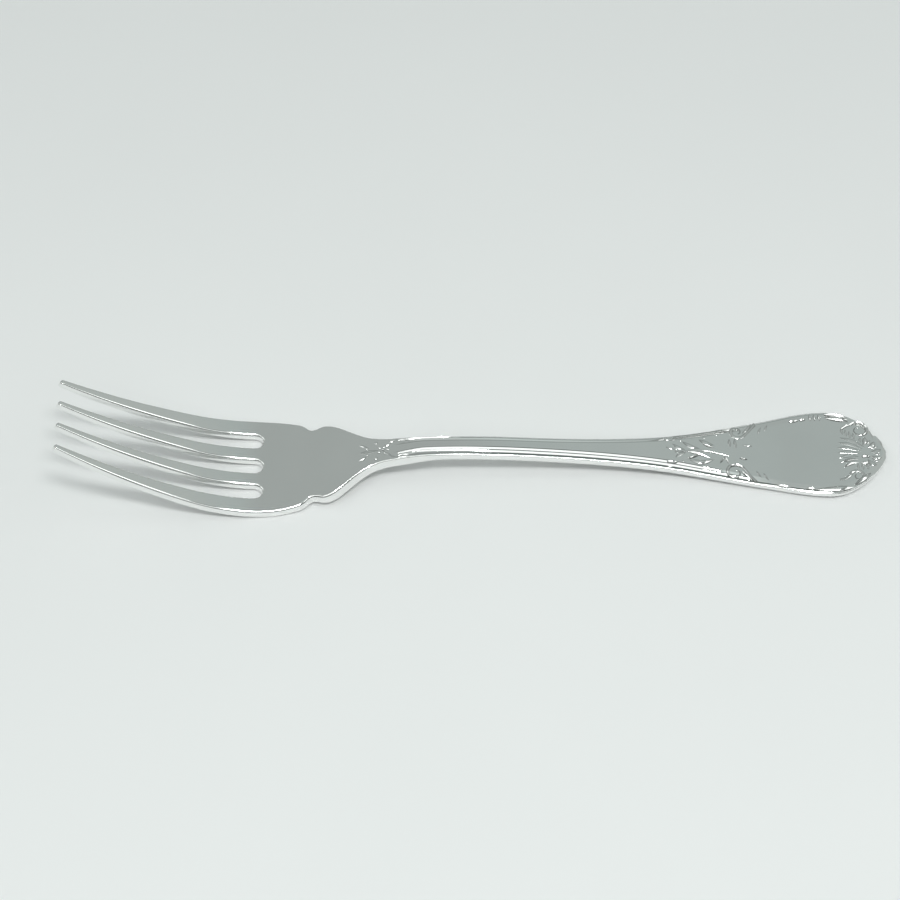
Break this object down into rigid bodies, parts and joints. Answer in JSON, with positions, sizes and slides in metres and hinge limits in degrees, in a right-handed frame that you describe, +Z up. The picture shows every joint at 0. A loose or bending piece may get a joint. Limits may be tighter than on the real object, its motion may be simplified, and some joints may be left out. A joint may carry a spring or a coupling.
{
  "type": "fish fork",
  "caption": "Silver-plated fish fork with long curved tines, notched shoulders, a threaded stem and a handle ending in a plain oval framed by struck scrolls and a shell.",
  "frame": {"origin": "On the table, under the middle of the fork's length and width", "axes": "+X from the tine tips to the handle's end, +Y to the fork's left as the handle is held towards the viewer's right, +Z up from the table"},
  "size_m": [0.181, 0.0262, 0.0213],
  "materials": {
    "polished_silver": "polished silver plate on nickel silver",
    "struck_silver": "struck relief in the same silver plate, a little darker in its hollows"
  },
  "bodies": {
    "root": {"tine_1": "polished_silver", "tine_2": "polished_silver", "tine_3": "polished_silver", "tine_4": "polished_silver", "head": "polished_silver", "stem": "polished_silver", "handle": "polished_silver", "shell": "struck_silver", "leaf_spray": "struck_silver", "neck_leaf": "struck_silver", "scroll_base_near": "struck_silver", "scroll_base_far": "struck_silver", "scroll_end_near": "struck_silver", "scroll_end_far": "struck_silver"}
  },
  "joints": []
}
